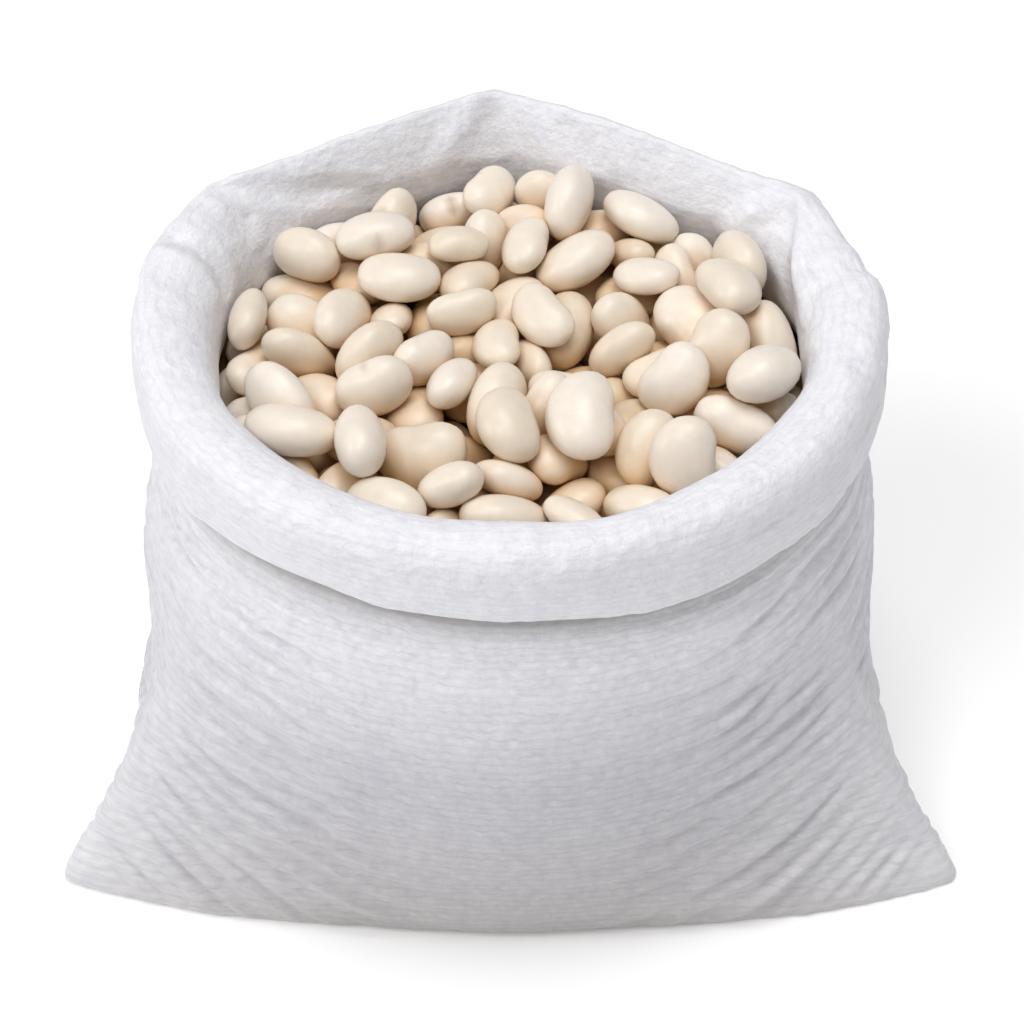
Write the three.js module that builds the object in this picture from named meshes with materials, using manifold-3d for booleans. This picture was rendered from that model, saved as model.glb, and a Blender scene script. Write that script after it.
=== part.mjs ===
// A small woven sack, its mouth rolled outward into a thick cuff, heaped with dried white beans.
// It stands upright on the floor: +X to the right, +Y to the back, +Z up, in millimetres.
import * as THREE from 'three';
import { mergeVertices } from 'three/addons/utils/BufferGeometryUtils.js';
import Module from 'manifold-3d';

const wasm = await Module();
wasm.setup();

// The filled body: an oval tube, a little narrower at the floor and at the neck
const BODY_HALF_WIDTH = 84;
const BODY_HALF_DEPTH = 75.5;
const BODY_WAIST = [[0, 0.955], [10, 0.985], [30, 1], [58, 1], [80, 0.975], [95, 0.95], [108, 0.915]];
const BODY_HEIGHTS = [14, 26, 42, 62, 82];

// The two bottom corners of the cloth: ears that point to the front left and front right
const EAR_TIP = [110.5, -62];
const EAR_ROOT = [79, -8];
const FRONT_SEAM_HALF_WIDTH = 175;
const FRONT_SEAM_DEPTH = 73;
const EAR_SHARPNESS = 34;
const EAR_HEIGHT = 75;
const EAR_FADE = 1.8;
const EAR_REACH = 20;
const EAR_BLEND = 3;

// How the cloth turns under at the floor, on the round body and on the flat ears
const BODY_TURN = 8;
const EAR_TURN = 3.2;

// The rolled cuff, from its inner lip over the crest to the hem
const LIP = [63.8, 60.6];
const CREST = [76.5, 68];
const OUTSIDE = [83.2, 75.8];
const HEM = [82.5, 72.4];
const CREST_HEIGHT = [130.8, 5.5, 1.7];
const HEM_HEIGHT = [108, 4, 1.2];
const ROLL_DROP = 10;
const ROLL_STEPS = 3;
const HEM_THICKNESS = 1.8;
const HEM_TURN = 0.8;
const SLOT_WIDTH = 2.4;
const SLOT_DEPTH = 8;
const NECK_BELOW_HEM = 9;
const NECK_LEAN = 0.35;

// The inside: how thick the wall is, and where the throat under the lip begins and ends
const CLOTH = 2.2;
const THROAT_TOP = 104;
const THROAT_FOOT = 96;
const INSIDE_HEIGHTS = [60, 14];

// The four straight folds of the rim behind the heap: the way each faces and its distance from the axis
const BACK_FOLDS = [[151.6, 75.5], [114.9, 60.9], [65.3, 58.1], [24.3, 73.1]];
const FOLD_SHARPNESS = 50;
const LIP_INSET = 3;
const OUTSIDE_OVERHANG = 6;
const HEM_OVERHANG = 10;

// Soft rises of an outline: angle, height and width of each
const LIP_RISES = [[203, 2, 9], [342, 1.8, 9], [288, 2.2, 10]];
const CREST_RISES = [[165, 5, 14], [12, 3, 12]];
const HEM_RISES = [[300, 1.8, 16], [237, -1.3, 14], [90, 4.5, 45]];

// The beans
const BEAN_COUNT = 100;
const BEAN_SIDES = 6;
const BEAN_RINGS = 5;
const BEAN_LENGTH = [15.5, 22.5];
const BEAN_WIDTH_SHARE = [0.62, 0.74];
const BEAN_THICKNESS_SHARE = [0.5, 0.6];
const BEAN_BEND = 0.12;
const BEAN_TILT = 24;
const HEAP_EDGE = 115.5;
const HEAP_RISE = 12;
const HEAP_LEAN = 0.05;
const CORE_SINK = 7.5;
const CORE_INSET = 3;
const CORE_AROUND = 32;
const CORE_RINGS = [0.97, 0.75, 0.45];
const UPPER_LAYER = 60;
const LAYER_DROP = 4.5;
const GAP = 0.5;
const ROOM_TOP = 180;
const SEED = 41;

const AROUND = 84;
const FULL_TURN = 360;

const radians = (degrees) => degrees * Math.PI / 180;
const mix = (from, to, share) => from + (to - from) * share;
const clamp01 = (value) => Math.min(Math.max(value, 0), 1);

// An oval seen from its middle: how far it reaches at an angle
function oval(angle, [halfWidth, halfDepth]) {
  return 1 / Math.hypot(Math.cos(angle) / halfWidth, Math.sin(angle) / halfDepth);
}

// Where two outlines meet, the larger one, with a soft crossing
function softLarger(a, b, blend) {
  const share = clamp01(0.5 + 0.5 * (b - a) / blend);
  return mix(a, b, share) + blend * share * (1 - share);
}

const softSmaller = (a, b, blend) => -softLarger(-a, -b, blend);

// Straight sides with rounded corners between them
function straightSides(angle, sides, sharpness) {
  const nearness = sides.map(([facing, distance]) => Math.cos(angle - facing) / distance);
  const sum = nearness.reduce((total, near) => total + Math.max(near, 1e-3) ** sharpness, 0);
  return sum ** (-1 / sharpness);
}

function rises(angle, list) {
  return list.reduce((total, [at, height, width]) => {
    const away = Math.abs((((angle * 180 / Math.PI - at) % FULL_TURN) + 540) % FULL_TURN - 180);
    return total + height * Math.exp(-((away / width) ** 2));
  }, 0);
}

// A value read off a short list of heights
function alongHeight(z, list) {
  const next = list.findIndex(([height]) => height > z);
  if (next < 1) {
    return list[next === 0 ? 0 : list.length - 1][1];
  }
  const [[low, from], [high, to]] = [list[next - 1], list[next]];
  return mix(from, to, (z - low) / (high - low));
}

// A height that rises from the front of the mouth to its back
function tilted(angle, [middle, slope, curve]) {
  const back = Math.sin(angle);
  return middle + slope * back + curve * back * back;
}

function bodyReach(angle, z) {
  return oval(angle, [BODY_HALF_WIDTH, BODY_HALF_DEPTH]) * alongHeight(z, BODY_WAIST);
}

// The side edge of an ear, as the way it faces and its distance from the axis
function earSide(side) {
  const [tipX, tipY] = EAR_TIP;
  const [rootX, rootY] = EAR_ROOT;
  const normal = new THREE.Vector2(rootY - tipY, tipX - rootX).normalize();
  return [Math.atan2(normal.y, normal.x * side), normal.dot(new THREE.Vector2(tipX, tipY))];
}

// The corner between the front seam and an ear's side edge
function earReach(angle, side) {
  if (Math.sin(angle) >= 0 || Math.cos(angle) * side <= 0) {
    return 0;
  }
  const seam = oval(angle, [FRONT_SEAM_HALF_WIDTH, FRONT_SEAM_DEPTH]);
  const [facing, distance] = earSide(side);
  const edge = distance / Math.max(Math.cos(angle - facing), 1e-3);
  return (edge ** -EAR_SHARPNESS + seam ** -EAR_SHARPNESS) ** (-1 / EAR_SHARPNESS);
}

// How far the ears stand out of the body on the floor
function earOverhang(angle) {
  const body = bodyReach(angle, 0);
  const widest = Math.max(earReach(angle, 1), earReach(angle, -1));
  return softLarger(body, widest, EAR_BLEND) - body;
}

function outerReach(angle, z) {
  return bodyReach(angle, z) + earOverhang(angle) * clamp01(1 - z / EAR_HEIGHT) ** EAR_FADE;
}

// The rim's back folds, moved in or out by an inset
function backFolds(angle, inset) {
  const sides = BACK_FOLDS.map(([facing, distance]) => [radians(facing), distance - inset]);
  return straightSides(angle, sides, FOLD_SHARPNESS);
}

const lipReach = (angle) =>
  softSmaller(oval(angle, LIP) + rises(angle, LIP_RISES), backFolds(angle, LIP_INSET), 2);
const crestReach = (angle) =>
  softSmaller(oval(angle, CREST) + rises(angle, CREST_RISES), backFolds(angle, 0), 1.5);
const outsideReach = (angle) =>
  softSmaller(oval(angle, OUTSIDE), backFolds(angle, -OUTSIDE_OVERHANG), 2);
const hemReach = (angle) =>
  softSmaller(oval(angle, HEM) + rises(angle, HEM_RISES), backFolds(angle, -HEM_OVERHANG), 3);

// The cuff's outer face halfway between its hem and its widest place
const cuffMiddle = (angle) => mix(hemReach(angle), outsideReach(angle), 0.75);

// The slot between the cuff and the body: its outer wall at the top, and its inner wall
const slotTop = (angle) =>
  Math.min(hemReach(angle) - HEM_THICKNESS, cuffMiddle(angle) - 1.4 * HEM_THICKNESS);
const neckTop = (angle) =>
  Math.min(hemReach(angle) - HEM_THICKNESS - SLOT_WIDTH, slotTop(angle) - 0.7 * SLOT_WIDTH);

// The outside of the sack from the floor up to the slot behind the hem, as [reach, height] steps
function bodySteps(angle) {
  const earShare = clamp01(earOverhang(angle) / EAR_REACH);
  const turn = mix(BODY_TURN, EAR_TURN, earShare);
  const foot = outerReach(angle, turn);
  const hem = hemReach(angle);
  const hemHeight = tilted(angle, HEM_HEIGHT);
  const neck = hem - HEM_THICKNESS - SLOT_WIDTH;
  return [
    [foot - turn, 0],
    [foot - turn * 0.3, turn * 0.3],
    [foot, turn],
    ...BODY_HEIGHTS.map((z) => [outerReach(angle, z), z]),
    [mix(bodyReach(angle, hemHeight - NECK_BELOW_HEM), neck, NECK_LEAN), hemHeight - NECK_BELOW_HEM],
    [neck, hemHeight + 1],
    [neckTop(angle), hemHeight + SLOT_DEPTH],
  ];
}

// The cuff from the slot, round the hem and over the crest to the inner lip
function cuffSteps(angle) {
  const hem = hemReach(angle);
  const hemHeight = tilted(angle, HEM_HEIGHT);
  const outside = outsideReach(angle);
  const crest = crestReach(angle);
  const crestHeight = tilted(angle, CREST_HEIGHT);
  const lip = lipReach(angle);
  const rollStep = (share, reach, drop) => {
    const turn = share * Math.PI / 2;
    return [mix(crest, reach, Math.cos(turn)), crestHeight - drop + drop * Math.sin(turn)];
  };
  const steps = [
    [slotTop(angle), hemHeight + SLOT_DEPTH],
    [hem - HEM_THICKNESS, hemHeight + HEM_TURN],
    [hem - HEM_THICKNESS / 2, hemHeight],
    [hem, hemHeight + HEM_TURN],
    [cuffMiddle(angle), mix(hemHeight, crestHeight - ROLL_DROP, 0.55)],
  ];
  for (let i = 0; i <= ROLL_STEPS; i++) {
    steps.push(rollStep(i / ROLL_STEPS, outside, ROLL_DROP));
  }
  for (let i = ROLL_STEPS - 1; i >= 0; i--) {
    steps.push(rollStep(i / ROLL_STEPS, lip, crest - lip));
  }
  return steps;
}

// The inside from just under the lip down to the floor of the sack
function insideSteps(angle) {
  const lip = lipReach(angle);
  const crestHeight = tilted(angle, CREST_HEIGHT);
  const lipHeight = crestHeight - (crestReach(angle) - lip);
  return [
    [lip + 0.8, mix(lipHeight, THROAT_TOP, 0.6)],
    [mix(lip, bodyReach(angle, THROAT_FOOT) - CLOTH, 0.75), THROAT_FOOT],
    ...INSIDE_HEIGHTS.map((z) => [bodyReach(angle, z) - CLOTH, z]),
    [bodyReach(angle, 0) - 2.5 * CLOTH, 2 * CLOTH],
    [bodyReach(angle, 0) - 4.5 * CLOTH, CLOTH],
  ];
}

// Turns step lists, one for each angle, into a closed body with a point on the axis at each end
function ringBody(stepsAt, firstHeight, lastHeight, around = AROUND) {
  const columns = [];
  for (let i = 0; i < around; i++) {
    const angle = radians(i * FULL_TURN / around);
    columns.push(stepsAt(angle).map(([reach, z]) => [reach * Math.cos(angle), reach * Math.sin(angle), z]));
  }
  const rows = columns[0].length;
  const positions = [0, 0, firstHeight, 0, 0, lastHeight];
  for (const column of columns) {
    positions.push(...column.flat());
  }
  const at = (i, row) => 2 + (i % around) * rows + row;
  const faces = [];
  for (let i = 0; i < around; i++) {
    faces.push(0, at(i + 1, 0), at(i, 0));
    for (let row = 0; row < rows - 1; row++) {
      faces.push(at(i, row), at(i + 1, row), at(i + 1, row + 1));
      faces.push(at(i, row), at(i + 1, row + 1), at(i, row + 1));
    }
    faces.push(1, at(i, rows - 1), at(i + 1, rows - 1));
  }
  const geometry = new THREE.BufferGeometry();
  geometry.setAttribute('position', new THREE.Float32BufferAttribute(positions, 3));
  geometry.setIndex(faces);
  return geometry;
}

function sackGeometry() {
  const steps = (angle) => [...bodySteps(angle), ...cuffSteps(angle), ...insideSteps(angle)];
  return ringBody(steps, 0, CLOTH);
}

// The room inside the sack, less the gap that the beans keep, open upward past the crest
function roomGeometry() {
  const steps = (angle) => {
    const upward = insideSteps(angle).reverse().map(([reach, z]) => [reach - GAP, z]);
    upward[0][1] += GAP;
    const lip = lipReach(angle) - GAP;
    return [...upward, [lip, upward.at(-1)[1] + 6], [lip, ROOM_TOP]];
  };
  return ringBody(steps, CLOTH + GAP, ROOM_TOP);
}

// The heap's surface: lowest at the cloth, highest a little behind the middle
function heapHeight(x, y) {
  const share = clamp01(Math.hypot(x / LIP[0], y / LIP[1]));
  return HEAP_EDGE + HEAP_RISE * (1 - share ** 2.2) + HEAP_LEAN * y;
}

// What fills the sack below the beans that show
function coreGeometry() {
  const steps = (angle) => {
    const foot = bodyReach(angle, 0) - 5 * CLOTH - CORE_INSET;
    const side = bodyReach(angle, 50) - CLOTH - CORE_INSET;
    const top = lipReach(angle) - CORE_INSET;
    const filled = [[foot, CLOTH + GAP], [side, 18], [side, 66], [top, THROAT_FOOT + 4]];
    for (const share of CORE_RINGS) {
      const x = top * share * Math.cos(angle);
      const y = top * share * Math.sin(angle);
      filled.push([top * share, heapHeight(x, y) - CORE_SINK]);
    }
    return filled;
  };
  return ringBody(steps, CLOTH + GAP, heapHeight(0, 0) - CORE_SINK, CORE_AROUND);
}

// A repeatable stream of numbers between 0 and 1
function drawsFrom(seed) {
  let state = seed;
  return () => {
    state = (state * 1664525 + 1013904223) % 4294967296;
    return state / 4294967296;
  };
}

// A plump oval bean, bent a little along its length
function beanGeometry(length, width, thickness) {
  const geometry = new THREE.SphereGeometry(1, BEAN_SIDES, BEAN_RINGS).rotateZ(Math.PI / 2);
  const position = geometry.getAttribute('position');
  for (let i = 0; i < position.count; i++) {
    const [x, y, z] = [position.getX(i), position.getY(i), position.getZ(i)];
    const bent = y * width / 2 + BEAN_BEND * width * (1 - 2 * x * x);
    position.setXYZ(i, x * length / 2, bent, z * thickness / 2);
  }
  return geometry;
}

// Where the beans lie: each takes the emptiest of several drawn places
function beanPlaces(draw) {
  const places = [];
  for (let i = 0; i < BEAN_COUNT; i++) {
    let best = null;
    for (let tries = 0; tries < 30; tries++) {
      const angle = draw() * Math.PI * 2;
      const share = Math.sqrt(draw());
      const reach = (lipReach(angle) - 5) * share;
      const place = new THREE.Vector3(reach * Math.cos(angle), reach * Math.sin(angle), 0);
      const room = Math.min(...places.map((other) => other.distanceTo(place)), Infinity);
      if (!best || room > best.room) {
        best = { place, room };
      }
    }
    places.push(best.place);
  }
  return places;
}

// A closed three.js geometry as a solid that can be joined and cut
function solidFrom(geometry) {
  const bare = geometry.clone();
  bare.deleteAttribute('normal');
  bare.deleteAttribute('uv');
  const merged = mergeVertices(bare, 1e-4);
  return new wasm.Manifold(new wasm.Mesh({
    numProp: 3,
    vertProperties: merged.getAttribute('position').array,
    triVerts: new Uint32Array(merged.index.array),
  }));
}

function geometryFrom(solid) {
  const { vertProperties, triVerts } = solid.getMesh();
  const geometry = new THREE.BufferGeometry();
  geometry.setAttribute('position', new THREE.BufferAttribute(vertProperties, 3));
  geometry.setIndex(new THREE.BufferAttribute(triVerts, 1));
  return geometry;
}

// The largest of a solid's separate skins, without the pockets that close up between beans
function outerSkin(solid) {
  return solid.decompose().reduce((largest, skin) => (skin.volume() > largest.volume() ? skin : largest));
}

// The heap: the core with every showing bean joined on, kept inside the sack
function heapGeometry() {
  const draw = drawsFrom(SEED);
  let heap = solidFrom(coreGeometry());
  beanPlaces(draw).forEach((place, i) => {
    const length = mix(...BEAN_LENGTH, draw() ** 1.3);
    const width = length * mix(...BEAN_WIDTH_SHARE, draw());
    const thickness = length * mix(...BEAN_THICKNESS_SHARE, draw());
    const bean = beanGeometry(length, width, thickness);
    bean.rotateX(radians(mix(-BEAN_TILT, BEAN_TILT, draw())));
    bean.rotateY(radians(mix(-BEAN_TILT, BEAN_TILT, draw())));
    bean.rotateZ(draw() * Math.PI * 2);
    const drop = thickness / 2 + (i < UPPER_LAYER ? 0 : LAYER_DROP);
    bean.translate(place.x, place.y, heapHeight(place.x, place.y) - drop);
    heap = heap.add(solidFrom(bean));
  });
  return geometryFrom(outerSkin(heap.intersect(solidFrom(roomGeometry()))));
}

function namedMesh(name, geometry, colour, roughness) {
  const material = new THREE.MeshStandardMaterial({ color: colour, roughness, metalness: 0 });
  const mesh = new THREE.Mesh(geometry, material);
  mesh.name = name;
  return mesh;
}

const sackOfBeans = new THREE.Group();
sackOfBeans.add(namedMesh('sack', sackGeometry(), 0xeeeef3, 0.55));
sackOfBeans.add(namedMesh('beans', heapGeometry(), 0xeadfc9, 0.4));

export default sackOfBeans;
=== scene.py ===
# %% [markdown]
# A small woven sack of dried white beans, its mouth rolled outward into a thick cuff.
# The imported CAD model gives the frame: the floor is at height 0, +X points right and +Y to the
# back. This lesson dresses its two plain solids. The sack becomes a cloth shell with sagging
# folds, a crumpled cuff and a surface of woven tapes. The heap becomes loose beans, which a
# short rigid-body simulation drops into the sack and which are then frozen into one mesh.

import math
import random

import bpy
import numpy as np
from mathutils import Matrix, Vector, noise


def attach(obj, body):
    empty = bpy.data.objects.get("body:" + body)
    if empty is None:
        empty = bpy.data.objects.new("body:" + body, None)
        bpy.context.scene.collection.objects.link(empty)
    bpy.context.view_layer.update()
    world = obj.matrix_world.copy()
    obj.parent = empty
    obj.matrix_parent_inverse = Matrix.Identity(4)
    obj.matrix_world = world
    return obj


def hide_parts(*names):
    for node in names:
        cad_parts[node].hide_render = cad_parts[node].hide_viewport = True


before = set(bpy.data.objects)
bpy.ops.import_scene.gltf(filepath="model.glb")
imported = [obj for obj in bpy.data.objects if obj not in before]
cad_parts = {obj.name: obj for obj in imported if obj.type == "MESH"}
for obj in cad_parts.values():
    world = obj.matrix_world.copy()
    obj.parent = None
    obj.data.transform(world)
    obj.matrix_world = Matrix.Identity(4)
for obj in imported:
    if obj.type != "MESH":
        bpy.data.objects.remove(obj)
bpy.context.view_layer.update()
scene = bpy.context.scene

# %% [markdown]
# Sizes are written in millimetres, as one would measure the sack on a table, and turned into
# metres where a mesh is made. They repeat the main sizes of the CAD model, because the cloth has
# to lie where the solid lies. A pair of sizes is a half width and a half depth. Places round the
# sack are angles in degrees: 0 is right, 90 the back, 180 left and 270 the front.

# %% Sizes
MM = 0.001
SEED = 7

BODY = (84.0, 75.5)
WAIST_HEIGHTS = (0, 10, 30, 58, 80, 95, 108)
WAIST_SHARES = (0.955, 0.985, 1.0, 1.0, 0.975, 0.95, 0.915)
THROAT = 99  # height at which the roll narrows the sack

EAR_TIP = (110.5, -62.0)
EAR_ROOT = (79.0, -8.0)
EAR_ANGLES = (209, 331)
SEAM = (175.0, 73.0)  # the oval that the bottom seam follows between the ears
EAR_SHARPNESS = 34
EAR_HEIGHT = 75.0
EAR_FADE = 1.8
EAR_REACH = 20.0
EAR_BLEND = 3.0
BODY_TURN = 8.0  # how wide the cloth turns over the floor
EAR_TURN = 3.2

LIP = (63.8, 60.6)
CREST = (76.5, 68.0)
OUTSIDE = (83.2, 75.8)
HEM = (82.5, 72.4)
CREST_HEIGHT = (130.8, 5.5, 1.7)  # middle, slope to the back, curve
HEM_HEIGHT = (108.0, 4.0, 1.2)
ROLL_DROP = 10.0
ROLL_CRISPNESS = 0.8
BACK_SLOPE = 1.7
BACK_FLARE = 2.4
BACK_DROP = 2.6
BACK_TUCK = 1.2
HEM_THICKNESS = 1.8
SLOT_WIDTH = 1.8
SLOT_DEPTH = 8.0
CLOTH = 2.2  # from the outside to the inside; the real film is far thinner

# %% [markdown]
# The stiff rim doesn't run round in one curve. At the back it is folded into straight runs that
# meet in a peak, so each run is given by the way that it faces and its distance from the axis.
# Elsewhere it has small bumps, each with its place, its height and its width in degrees.

# %% Unevenness of the rim
BACK_FOLDS = ((151.6, 75.5), (114.9, 60.9), (65.3, 58.1), (24.3, 73.1))
FOLD_SHARPNESS = 110
LIP_RISES = ((203, 2.0, 9), (342, 1.8, 9), (288, 2.2, 10))
CREST_RISES = ((165, 5.0, 14), (12, 3.0, 12))
HEM_RISES = ((300, 1.8, 16), (237, -1.3, 14), (90, 4.5, 45))

# %% [markdown]
# The sack is a stack of rings. Each ring is a reach from the axis and a height for every angle
# round the sack. Writing them for whole arrays of angles keeps them short and quick. The points
# crowd at the ears, where the outline turns sharply.

# %% Angles round the sack
AROUND = 720
EAR_CROWDING = 1.3
CROWDING_WIDTH = 22

even = np.linspace(0, 360, 3601)
crowding = 1 + EAR_CROWDING * sum(np.exp(-(((even - at) / CROWDING_WIDTH) ** 2)) for at in EAR_ANGLES)
running = np.concatenate([[0], np.cumsum((crowding[1:] + crowding[:-1]) / 2)])
angles = np.radians(np.interp(np.arange(AROUND) / AROUND, running / running[-1], even))
degrees = np.degrees(angles)


def degrees_from(at):
    return np.abs((degrees - at + 180) % 360 - 180)


print(AROUND, "angles, at the ears every", round(float(np.diff(degrees).min()), 2), "degrees")

# %% [markdown]
# Small functions describe the outlines: an oval, a soft larger or smaller of two lines, the
# bumps, a height that tilts to the back, and the straight runs. The runs are joined by adding
# high powers, which gives the smallest of them with a rounded corner.

# %% Outlines round the sack


def oval(half_width, half_depth):
    return 1 / np.hypot(np.cos(angles) / half_width, np.sin(angles) / half_depth)


def soft_larger(a, b, blend):
    share = np.clip(0.5 + 0.5 * (b - a) / blend, 0, 1)
    return a + (b - a) * share + blend * share * (1 - share)


def soft_smaller(a, b, blend):
    return -soft_larger(-a, -b, blend)


def rises(rows):
    total = np.zeros(AROUND)
    for at, rise, width in rows:
        total += rise * np.exp(-((degrees_from(at) / width) ** 2))
    return total


def tilted(middle, slope, curve):
    back = np.sin(angles)
    return middle + slope * back + curve * back * back


def back_folds(inset):
    total = np.zeros(AROUND)
    for facing, distance in BACK_FOLDS:
        nearness = np.cos(angles - math.radians(facing)) / (distance - inset) * BODY[1]
        total += np.maximum(nearness, 0.05) ** FOLD_SHARPNESS
    return BODY[1] * total ** (-1 / FOLD_SHARPNESS)


def rim_line(size, bumps, inset, blend):
    return soft_smaller(oval(*size) + rises(bumps), back_folds(inset), blend)


# %% [markdown]
# The body is an oval that is widest at the belly. The ears are what is left over where a flat
# pillow is filled: two pointed corners of empty cloth near the floor. Each is a straight edge
# from its tip back to the side, cut off by the long curve of the bottom seam.

# %% Body, ears and rim


def body_reach(height):
    return oval(*BODY) * np.interp(height, WAIST_HEIGHTS, WAIST_SHARES)


def ear_reach(side):
    run = Vector((EAR_ROOT[0] - EAR_TIP[0], EAR_ROOT[1] - EAR_TIP[1]))
    normal = Vector((run.y, -run.x)).normalized()
    distance = normal.dot(Vector(EAR_TIP))
    facing = math.atan2(normal.y, normal.x * side)
    edge = distance / np.maximum(np.cos(angles - facing), 1e-3)
    corner = (edge ** -EAR_SHARPNESS + oval(*SEAM) ** -EAR_SHARPNESS) ** (-1 / EAR_SHARPNESS)
    return np.where((np.sin(angles) < 0) & (np.cos(angles) * side > 0), corner, 0)


floor_reach = body_reach(0)
ears = soft_larger(floor_reach, np.maximum(ear_reach(1), ear_reach(-1)), EAR_BLEND) - floor_reach
ear_share = np.clip(ears / EAR_REACH, 0, 1)


def ears_at(height):
    return ears * np.clip(1 - height / EAR_HEIGHT, 0, 1) ** EAR_FADE


at_back = np.clip((np.sin(angles) - 0.2) / 0.5, 0, 1)
lip = rim_line(LIP, LIP_RISES, inset=3, blend=2) - BACK_TUCK * at_back
outside = rim_line(OUTSIDE, (), inset=-6, blend=2)
crest = rim_line(CREST, CREST_RISES, inset=0, blend=1.5) + BACK_FLARE * at_back
hem = rim_line(HEM, HEM_RISES, inset=-10, blend=3)
crest_height = tilted(*CREST_HEIGHT) - BACK_DROP * at_back
hem_height = tilted(*HEM_HEIGHT)
print("mouth", round(2 * lip.max()), "mm wide, ears reach", round((ears + floor_reach).max()), "mm")

# %% [markdown]
# The rings run from the middle of the underside, up the body, into the slot behind the cuff and
# round the hem. The slot is real space: the dark line under the cuff is its shadow. Near the
# back the cuff stands steeper, so the slot stays a hem's thickness inside its outer face there.

# %% Rings up to the hem


def ring(reach, height):
    return np.stack([reach * np.ones(AROUND), height * np.ones(AROUND)], axis=1)


turn = BODY_TURN + (EAR_TURN - BODY_TURN) * ear_share
foot = body_reach(BODY_TURN) + ears_at(turn)
neck = hem - HEM_THICKNESS - SLOT_WIDTH
hem_inside = hem - HEM_THICKNESS
cuff_middle = hem + (outside - hem) * 0.75
slot_top = np.minimum(hem_inside, cuff_middle - 1.4 * HEM_THICKNESS)
slot_middle = np.minimum(hem, hem + (outside - hem) * 0.45) - HEM_THICKNESS
neck_middle = np.minimum(neck, slot_middle - 0.7 * SLOT_WIDTH)
neck_top = np.minimum(neck, slot_top - 0.7 * SLOT_WIDTH)
neck_foot = body_reach(THROAT) * 0.65 + neck * 0.35

underside = [ring(0, 0), ring(0.35 * foot, 0), ring(0.7 * foot, 0), ring(foot - 1.5 * turn, 0)]
rounding = [ring(foot - 0.9 * turn, 0), ring(foot - 0.35 * turn, 0.12 * turn),
            ring(foot - 0.06 * turn, 0.5 * turn)]
body = [ring(body_reach(z) + ears_at(z), z) for z in (9, 13, 18, *range(24, 85, 6), 89, 94)]
slot = [ring(neck_foot, hem_height - 6), ring(neck, hem_height - 1.5),
        ring(neck_middle, hem_height + 0.5 * SLOT_DEPTH), ring(neck_top, hem_height + SLOT_DEPTH),
        ring(slot_top, hem_height + SLOT_DEPTH)]
hem_turn = [ring(slot_middle, hem_height + 0.5 * SLOT_DEPTH),
            ring(hem_inside, hem_height + 1), ring(hem_inside, hem_height - 0.3),
            ring(hem, hem_height - 0.3), ring(hem + 0.2, hem_height + 1)]
print(len(underside + rounding + body + slot + hem_turn), "rings up to the hem")

# %% [markdown]
# From the hem the rings go up the face of the cuff, over the crest and down the inside. Each
# half of the roll is a quarter turn. A crispness under 1 makes it full, as over a thick cuff,
# and one over 1 makes it slope, as the wall inside the back does.

# %% Rings over the roll


def roll_quarter(reach, drop, turns, crispness):
    """Rings over a quarter of the roll, between its crest and a reach drop below it."""
    rings = []
    for turned in turns:
        t = math.radians(turned)
        across, up = max(math.cos(t), 0) ** crispness, math.sin(t) ** crispness
        rings.append(ring(crest + (reach - crest) * across, crest_height - drop * (1 - up)))
    return rings


cuff_rise = crest_height - ROLL_DROP - hem_height
cuff_face = [ring(hem + (outside - hem) * share, hem_height + cuff_rise * rise)
             for share, rise in ((0.45, 0.3), (0.8, 0.6))]
over = roll_quarter(outside, ROLL_DROP, (0, 18, 36, 54, 72), ROLL_CRISPNESS)
inner_crispness = ROLL_CRISPNESS + (BACK_SLOPE - ROLL_CRISPNESS) * at_back
inner_drop = (crest - lip) * (1 + 0.75 * at_back)
into = roll_quarter(lip, inner_drop, (90, 72, 54, 36, 18, 0), inner_crispness)
lip_height = crest_height - inner_drop
inside = [ring(lip + 0.2, lip_height - 3), ring(lip + 1.0, (lip_height - 3 + 104) / 2),
          ring(lip * 0.5 + 0.5 * (body_reach(THROAT) - CLOTH), THROAT),
          ring(body_reach(90) - CLOTH, 88), ring(body_reach(60) - CLOTH, 60),
          ring(body_reach(30) - CLOTH, 20), ring(body_reach(0) - 4 * CLOTH, CLOTH),
          ring(0.4 * foot, CLOTH), ring(0, CLOTH)]

rings = underside + rounding + body + slot + hem_turn + cuff_face + over + into + inside
print(len(rings), "rings before the spline")

# %% [markdown]
# A B-spline through the rings rounds every turn of the cloth softly, the way a stiff woven cloth
# turns, without overshooting. The rows where one part of the sack ends and the next begins are
# kept, because the relief of each part is different.

# %% Grid of the cloth
PER_RING = 7


def spline_rows(controls, per):
    """A uniform cubic B-spline along the rings, which starts and ends on the first and last."""
    c = np.stack([controls[0]] * 2 + controls + [controls[-1]] * 2)
    rows = []
    for k in range(1, len(c) - 2):
        for step in range(per):
            t = step / per
            weights = ((1 - t) ** 3, 3 * t ** 3 - 6 * t ** 2 + 4,
                       -3 * t ** 3 + 3 * t ** 2 + 3 * t + 1, t ** 3)
            rows.append(sum(w / 6 * c[k - 1 + i] for i, w in enumerate(weights)))
    rows.append(controls[-1])
    return np.stack(rows)


profile = spline_rows(rings, PER_RING)
reach, height = profile[..., 0], profile[..., 1]
points = np.stack([reach * np.cos(angles), reach * np.sin(angles), height], axis=-1)
row = np.arange(len(profile))[:, None]

first_slot = PER_RING * (len(underside + rounding + body) + 1)
first_hem = first_slot + PER_RING * len(slot)
first_roll = first_hem + PER_RING * len(hem_turn + cuff_face)
first_inside = PER_RING * (len(rings) - len(inside) + 1)
print(profile.shape[0], "rows of", AROUND, "points")

# %% [markdown]
# Real cloth never lies smooth. Its relief comes from noise whose bumps have a real size in
# millimetres along each axis, so a field of size (20, 20, 12) has bumps about 20 mm wide and
# 12 mm high. Two more helpers fade a relief in or out and take the hardest edges off it.

# %% Helpers for relief


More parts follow.
